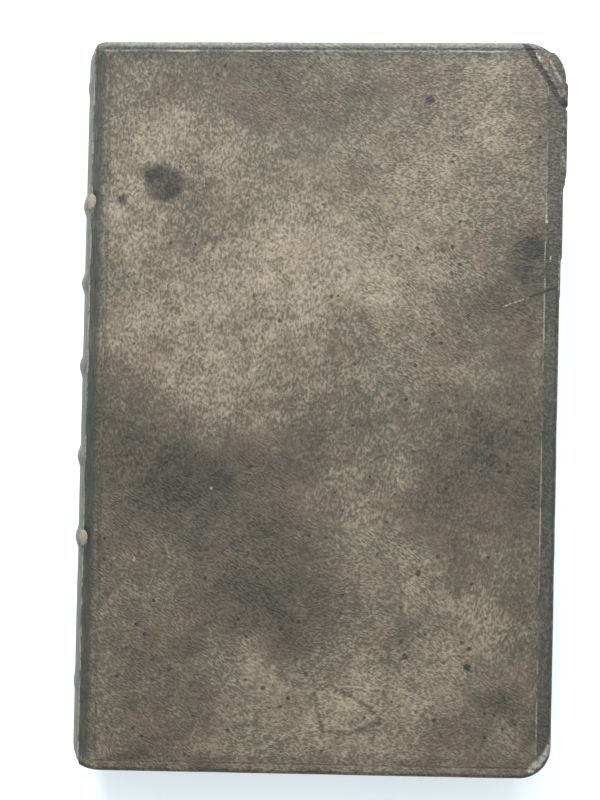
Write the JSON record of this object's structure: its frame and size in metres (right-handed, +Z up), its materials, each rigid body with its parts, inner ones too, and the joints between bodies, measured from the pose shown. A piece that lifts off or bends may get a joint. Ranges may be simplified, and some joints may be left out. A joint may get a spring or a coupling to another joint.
{
  "type": "antique leather book",
  "caption": "Old book bound in scuffed dark olive-brown leather, with raised bands on a rounded spine, a blind-tooled line round each cover and two hinged covers.",
  "frame": {"origin": "Under the middle of the closed book, on the plane that its back cover lies on.", "axes": "+X from the spine to the fore edge, +Y from the tail to the head, +Z up from the back cover to the front cover."},
  "size_m": [0.1144, 0.172, 0.0337],
  "materials": {
    "leather": "grained, worn and scuffed",
    "board": "matt pasted board",
    "leaves": "matt, toned at the edges",
    "endpaper": "matt, toned and spotted",
    "thread": "faded sewn thread",
    "cord": "matt twisted hemp"
  },
  "bodies": {
    "back_cover": {"back_leather": "leather", "back_board": "board", "back_pastedown": "endpaper", "back_cord_slip_1": "cord", "back_cord_slip_2": "cord", "back_cord_slip_3": "cord", "back_cord_slip_4": "cord", "back_cord_slip_5": "cord"},
    "book_block": {"text_block": "leaves", "spine_leather": "leather", "head_endband": "thread", "tail_endband": "thread", "sewing_cord_1": "cord", "sewing_cord_2": "cord", "sewing_cord_3": "cord", "sewing_cord_4": "cord", "sewing_cord_5": "cord"},
    "front_cover": {"front_leather": "leather", "front_board": "board", "front_pastedown": "endpaper", "front_cord_slip_1": "cord", "front_cord_slip_2": "cord", "front_cord_slip_3": "cord", "front_cord_slip_4": "cord", "front_cord_slip_5": "cord"}
  },
  "joints": [
    {"name": "front_cover_joint", "type": "hinge", "parent": "book_block", "child": "front_cover", "pos_m": [-0.0532, 0, 0.0337], "axis": [0, -1, 0], "range_deg": [0, 180]},
    {"name": "back_cover_joint", "type": "hinge", "parent": "back_cover", "child": "book_block", "pos_m": [-0.0532, 0, 0], "axis": [0, -1, 0], "range_deg": [0, 90]}
  ]
}
